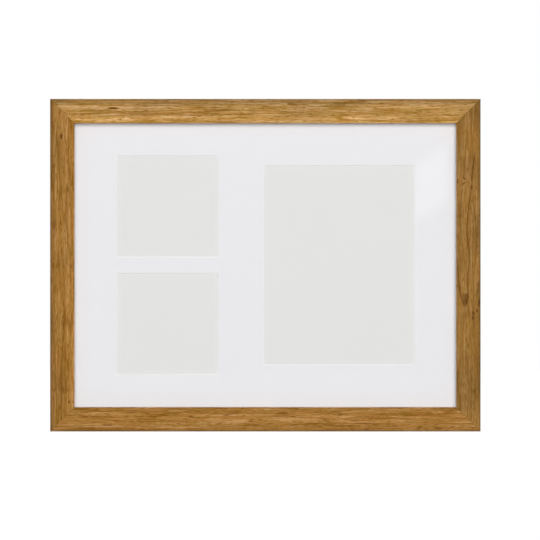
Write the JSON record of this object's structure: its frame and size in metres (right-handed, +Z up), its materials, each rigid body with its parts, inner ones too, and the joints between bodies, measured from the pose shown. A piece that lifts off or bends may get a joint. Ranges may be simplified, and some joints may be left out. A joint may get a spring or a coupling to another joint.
{
  "type": "collage photo frame",
  "caption": "Oak-effect collage photo frame with a glazed white mat that shows square and portrait prints, turn buttons that free its back and ring hangers for the wall.",
  "frame": {"origin": "on the wall, midway between the two hooks that hold the raised hanger rings", "axes": "+X to the right as seen from the front, +Y from the front of the frame into the wall, +Z up"},
  "size_m": [0.44, 0.0204, 0.34],
  "materials": {
    "oak_foil": "satin oak-effect foil over fibreboard, bare fibreboard on the back and in the rebate",
    "clear_glazing": "clear, polished",
    "white_mat": "matt white board, white core",
    "grey_card": "plain pale grey card",
    "hardboard": "bare brown hardboard",
    "zinc_steel": "bright zinc-plated steel",
    "bumper_rubber": "soft matt grey rubber"
  },
  "bodies": {
    "frame": {"top_rail": "oak_foil", "bottom_rail": "oak_foil", "left_rail": "oak_foil", "right_rail": "oak_foil", "corner_v_nails": "zinc_steel", "glazing_sheet": "clear_glazing", "mat_board": "white_mat", "photo_card_upper_square": "grey_card", "photo_card_lower_square": "grey_card", "photo_card_portrait": "grey_card", "backing_board": "hardboard", "turn_button_screws": "zinc_steel", "left_hanger_strap": "zinc_steel", "right_hanger_strap": "zinc_steel", "hanger_screws": "zinc_steel", "wall_bumpers": "bumper_rubber"},
    "top_left_turn_button": {"top_left_turn_button": "zinc_steel"},
    "top_right_turn_button": {"top_right_turn_button": "zinc_steel"},
    "bottom_left_turn_button": {"bottom_left_turn_button": "zinc_steel"},
    "bottom_right_turn_button": {"bottom_right_turn_button": "zinc_steel"},
    "left_lower_turn_button": {"left_lower_turn_button": "zinc_steel"},
    "left_upper_turn_button": {"left_upper_turn_button": "zinc_steel"},
    "right_lower_turn_button": {"right_lower_turn_button": "zinc_steel"},
    "right_upper_turn_button": {"right_upper_turn_button": "zinc_steel"},
    "left_hanger_ring": {"left_hanger_ring": "zinc_steel"},
    "right_hanger_ring": {"right_hanger_ring": "zinc_steel"}
  },
  "joints": [
    {"name": "top_left_button_turn", "type": "hinge", "parent": "frame", "child": "top_left_turn_button", "pos_m": [-0.105, -0.00537, 0.0453], "axis": [0, 1, 0], "range_deg": [-90, 90]},
    {"name": "top_right_button_turn", "type": "hinge", "parent": "frame", "child": "top_right_turn_button", "pos_m": [0.105, -0.00537, 0.0453], "axis": [0, 1, 0], "range_deg": [-90, 90]},
    {"name": "bottom_left_button_turn", "type": "hinge", "parent": "frame", "child": "bottom_left_turn_button", "pos_m": [-0.105, -0.00537, -0.2752], "axis": [0, 1, 0], "range_deg": [-90, 90]},
    {"name": "bottom_right_button_turn", "type": "hinge", "parent": "frame", "child": "bottom_right_turn_button", "pos_m": [0.105, -0.00537, -0.2752], "axis": [0, 1, 0], "range_deg": [-90, 90]},
    {"name": "left_lower_button_turn", "type": "hinge", "parent": "frame", "child": "left_lower_turn_button", "pos_m": [-0.21025, -0.00537, -0.16995], "axis": [0, 1, 0], "range_deg": [-90, 90]},
    {"name": "left_upper_button_turn", "type": "hinge", "parent": "frame", "child": "left_upper_turn_button", "pos_m": [-0.21025, -0.00537, -0.05995], "axis": [0, 1, 0], "range_deg": [-90, 90]},
    {"name": "right_lower_button_turn", "type": "hinge", "parent": "frame", "child": "right_lower_turn_button", "pos_m": [0.21025, -0.00537, -0.16995], "axis": [0, 1, 0], "range_deg": [-90, 90]},
    {"name": "right_upper_button_turn", "type": "hinge", "parent": "frame", "child": "right_upper_turn_button", "pos_m": [0.21025, -0.00537, -0.05995], "axis": [0, 1, 0], "range_deg": [-90, 90]},
    {"name": "left_ring_swing", "type": "hinge", "parent": "frame", "child": "left_hanger_ring", "pos_m": [-0.21025, -0.00307, -0.00995], "axis": [1, 0, 0], "range_deg": [0, 176]},
    {"name": "right_ring_swing", "type": "hinge", "parent": "frame", "child": "right_hanger_ring", "pos_m": [0.21025, -0.00307, -0.00995], "axis": [1, 0, 0], "range_deg": [0, 176]}
  ]
}
